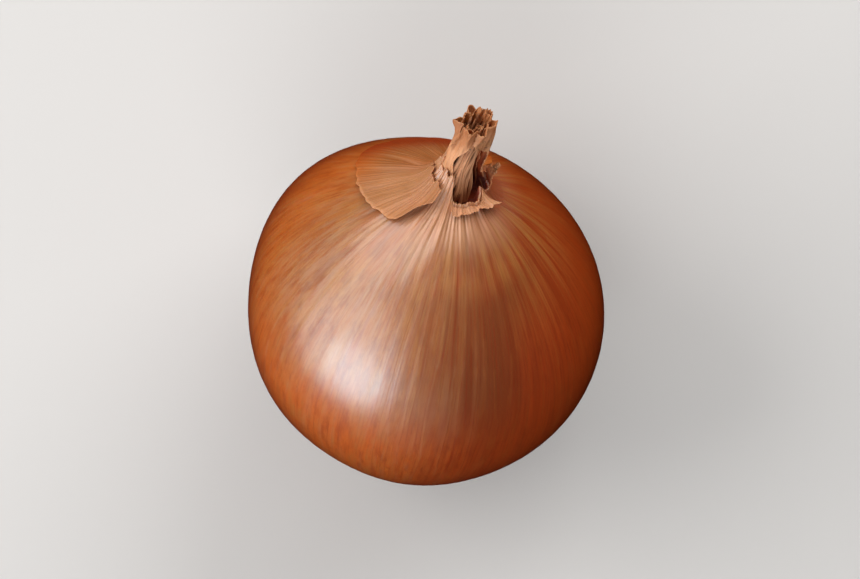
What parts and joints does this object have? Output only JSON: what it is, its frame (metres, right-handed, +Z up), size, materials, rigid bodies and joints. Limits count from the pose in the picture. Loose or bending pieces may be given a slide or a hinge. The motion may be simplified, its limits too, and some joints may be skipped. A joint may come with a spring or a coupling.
{
  "type": "shallot",
  "caption": "Round brown shallot lying on its side, with a dried twisted neck, torn papery outer scale and short dried roots.",
  "frame": {"origin": "on the surface it rests on, under the middle of its bounding box", "axes": "+Z up; the neck heads along -Y and rises at 47 degrees; the roots head along +Y, low down; X is across the bulb"},
  "size_m": [0.0386, 0.0422, 0.0429],
  "materials": {
    "skin": "satin, smooth, slightly translucent dry skin",
    "dry_scale": "dull papery scale",
    "dry_leaf": "matt dry leaf",
    "withered_stalk": "matt withered fibres",
    "dry_root": "matt dry root fibres"
  },
  "bodies": {
    "root": {"bulb": "skin", "outer_scale": "dry_scale", "collar_curl": "dry_scale", "neck_stalk": "withered_stalk", "neck_sheath_left": "dry_leaf", "neck_sheath_right": "dry_leaf", "neck_side_strip": "dry_leaf", "root_tuft": "dry_root"}
  },
  "joints": []
}
